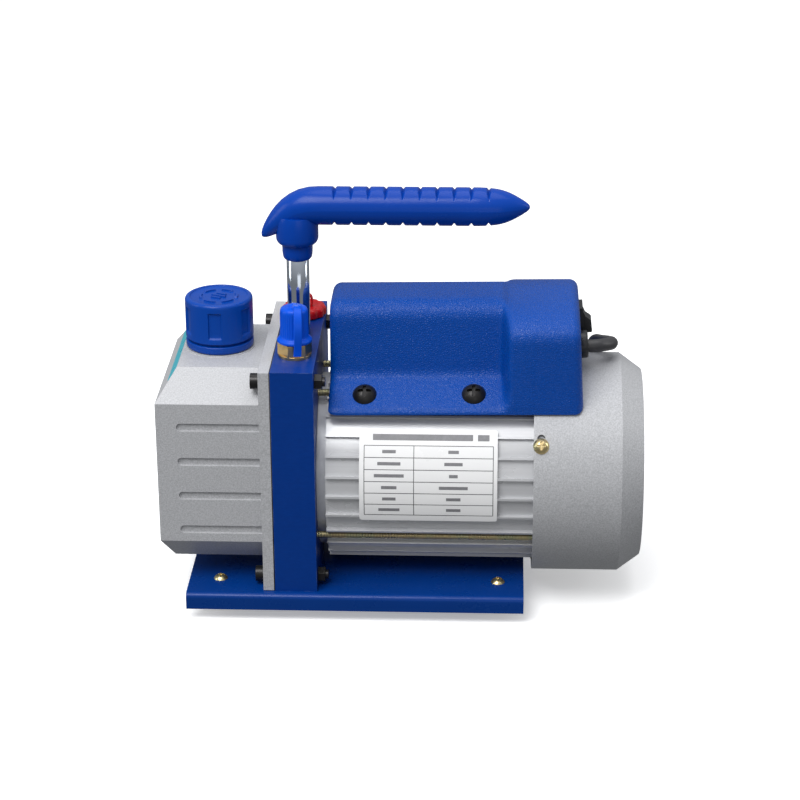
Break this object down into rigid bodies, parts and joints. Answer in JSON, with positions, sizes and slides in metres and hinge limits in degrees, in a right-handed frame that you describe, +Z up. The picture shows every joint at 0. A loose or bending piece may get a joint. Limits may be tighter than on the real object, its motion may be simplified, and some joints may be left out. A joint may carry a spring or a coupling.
{
  "type": "rotary vane vacuum pump",
  "caption": "Portable rotary vane vacuum pump: oil tank and pump block, finned motor, electrical box with switch and lead, folded base on rubber feet, grooved carrying handle.",
  "frame": {"origin": "centre of the pump's footprint on the floor, under the middle of its bounding box without the lead's coil and plug", "axes": "+X from the oil tank to the motor's end cap along the shaft, +Z up"},
  "size_m": [0.2534, 0.227, 0.222],
  "materials": {
    "base_blue": "gloss powder coat",
    "block_blue": "satin anodised blue",
    "rubber": "matt black rubber",
    "yellow_zinc": "yellow zinc plate",
    "steel": "ground steel",
    "gasket": "fibre gasket",
    "cast_silver": "silver paint on a fine casting",
    "black_oxide": "black oxide",
    "sight_glass": "clear with oil tint",
    "die_cast": "plain die-cast aluminium",
    "iron": "machined iron",
    "bronze": "sintered bronze",
    "vane_composite": "carbon composite",
    "extrusion": "bright extruded aluminium",
    "brass": "machined brass",
    "bright_blue_plastic": "moulded soft plastic",
    "red_plastic": "moulded soft plastic",
    "cap_blue_plastic": "satin moulded plastic",
    "chrome": "mirror chrome",
    "grip_blue_plastic": "gloss moulded plastic",
    "laminations": "stacked steel sheet",
    "copper_wire": "varnished copper",
    "black_plastic": "black moulded plastic",
    "label": "printed film with ruled lines",
    "box_blue_plastic": "leather-grained moulded plastic",
    "cord_pvc": "dark PVC sheath"
  },
  "bodies": {
    "frame": {"base_plate": "base_blue", "rubber_feet": "rubber", "foot_screws": "yellow_zinc", "block_screws": "steel", "pump_block": "block_blue", "tank_gasket": "gasket", "oil_tank": "cast_silver", "tank_bolts": "black_oxide", "tank_bolt_nuts": "black_oxide", "sight_glass": "sight_glass", "sight_glass_ring": "steel", "oil_filler_neck": "cast_silver", "mist_baffle": "steel", "pump_cylinder": "iron", "pump_end_plate": "iron", "pump_bolts": "black_oxide", "shaft_bush": "bronze", "shaft_seal": "rubber", "valve_stop": "steel", "valve_screw": "steel", "inlet_fitting": "brass", "second_port": "brass", "handle_post": "chrome", "handle_grip": "grip_blue_plastic", "motor_front_plate": "die_cast", "motor_housing": "extrusion", "stator_core": "laminations", "stator_windings": "copper_wire", "motor_rear_plate": "die_cast", "bearing_outer_rings": "steel", "bearing_balls": "steel", "tie_rods": "yellow_zinc", "tie_rod_nuts": "yellow_zinc", "end_cap": "cast_silver", "end_cap_screws": "yellow_zinc", "rating_label": "label", "electrical_box": "box_blue_plastic", "box_screws": "black_oxide", "run_capacitor": "extrusion", "switch_housing": "black_plastic", "cord_gland": "black_plastic", "power_cord": "cord_pvc", "cord_coil": "cord_pvc", "power_plug": "cord_pvc"},
    "rotor": {"pump_rotor": "steel", "vane_springs": "steel", "shaft_coupling": "extrusion", "bearing_inner_rings": "steel", "motor_shaft": "steel", "rotor_core": "laminations", "cooling_fan": "black_plastic"},
    "vane_front": {"vane_front": "vane_composite"},
    "vane_rear": {"vane_rear": "vane_composite"},
    "exhaust_reed": {"exhaust_reed": "steel"},
    "switch_rocker": {"switch_rocker": "black_plastic"},
    "oil_cap": {"oil_cap": "cap_blue_plastic", "oil_cap_seal": "rubber"},
    "inlet_cap": {"inlet_cap": "bright_blue_plastic"},
    "red_cap": {"red_cap": "red_plastic"},
    "drain_plug": {"drain_plug": "black_oxide"}
  },
  "joints": [
    {"name": "rotor_spin", "type": "hinge", "parent": "frame", "child": "rotor", "pos_m": [0, 0, 0.0696], "axis": [1, 0, 0], "continuous": true},
    {"name": "vane_front_slide", "type": "slide", "parent": "rotor", "child": "vane_front", "axis": [0, -1, 0], "range_m": [0, 0.0037]},
    {"name": "vane_rear_slide", "type": "slide", "parent": "rotor", "child": "vane_rear", "axis": [0, 1, 0], "range_m": [0, 0.0037]},
    {"name": "reed_lift", "type": "hinge", "parent": "frame", "child": "exhaust_reed", "pos_m": [-0.072, 0.009, 0.09425], "axis": [0, 1, 0], "range_deg": [0, 10], "stiffness_Nm_per_rad": 0.02},
    {"name": "rocker_tip", "type": "hinge", "parent": "frame", "child": "switch_rocker", "pos_m": [0.09088, 0.006, 0.14788], "axis": [0, 1, 0], "range_deg": [0, 14]},
    {"name": "oil_cap_lift", "type": "slide", "parent": "frame", "child": "oil_cap", "axis": [0, 0, 1], "range_m": [0, 0.04]},
    {"name": "inlet_cap_lift", "type": "slide", "parent": "frame", "child": "inlet_cap", "axis": [0, 0, 1], "range_m": [0, 0.03]},
    {"name": "red_cap_lift", "type": "slide", "parent": "frame", "child": "red_cap", "axis": [0, 0, 1], "range_m": [0, 0.02]},
    {"name": "drain_plug_pull", "type": "slide", "parent": "frame", "child": "drain_plug", "axis": [-1, 0, 0], "range_m": [0, 0.025]}
  ]
}
